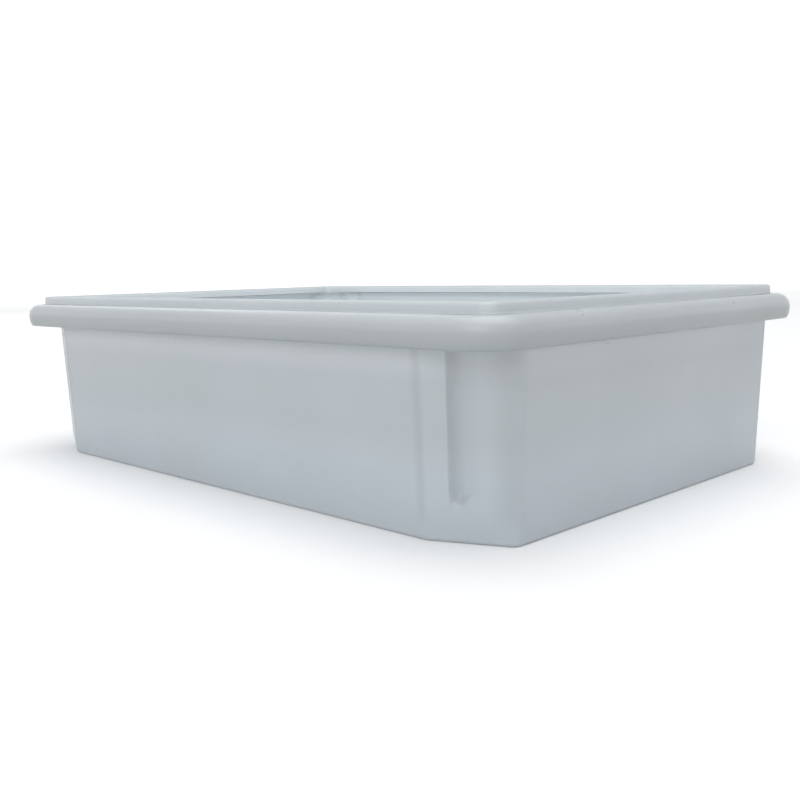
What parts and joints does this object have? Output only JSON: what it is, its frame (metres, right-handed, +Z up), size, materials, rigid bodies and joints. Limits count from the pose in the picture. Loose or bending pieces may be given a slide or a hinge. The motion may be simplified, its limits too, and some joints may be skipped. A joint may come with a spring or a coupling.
{
  "type": "developing tray",
  "caption": "Deep rectangular open tray in milky white plastic, with tapered walls, fluted cut corners, a rolled hanging rim and a raised bead round the mouth.",
  "frame": {"origin": "centre of the flat underside, on the surface that the tray stands on", "axes": "+X along the long sides, +Y along the short sides towards the back, +Z up out of the open mouth"},
  "size_m": [0.457, 0.308, 0.113],
  "materials": {
    "milky_plastic": "milky translucent white, satin, with fine scuffs"
  },
  "bodies": {
    "root": {"floor_panel": "milky_plastic", "floor_ribs": "milky_plastic", "front_wall": "milky_plastic", "right_wall": "milky_plastic", "back_wall": "milky_plastic", "left_wall": "milky_plastic", "front_right_corner": "milky_plastic", "front_left_corner": "milky_plastic", "back_right_corner": "milky_plastic", "back_left_corner": "milky_plastic", "front_flange": "milky_plastic", "right_flange": "milky_plastic", "back_flange": "milky_plastic", "left_flange": "milky_plastic", "front_rolled_edge": "milky_plastic", "right_rolled_edge": "milky_plastic", "back_rolled_edge": "milky_plastic", "left_rolled_edge": "milky_plastic", "front_skirt": "milky_plastic", "right_skirt": "milky_plastic", "back_skirt": "milky_plastic", "left_skirt": "milky_plastic", "front_right_skirt_corner": "milky_plastic", "front_left_skirt_corner": "milky_plastic", "back_right_skirt_corner": "milky_plastic", "back_left_skirt_corner": "milky_plastic", "front_bead": "milky_plastic", "right_bead": "milky_plastic", "back_bead": "milky_plastic", "left_bead": "milky_plastic"}
  },
  "joints": []
}
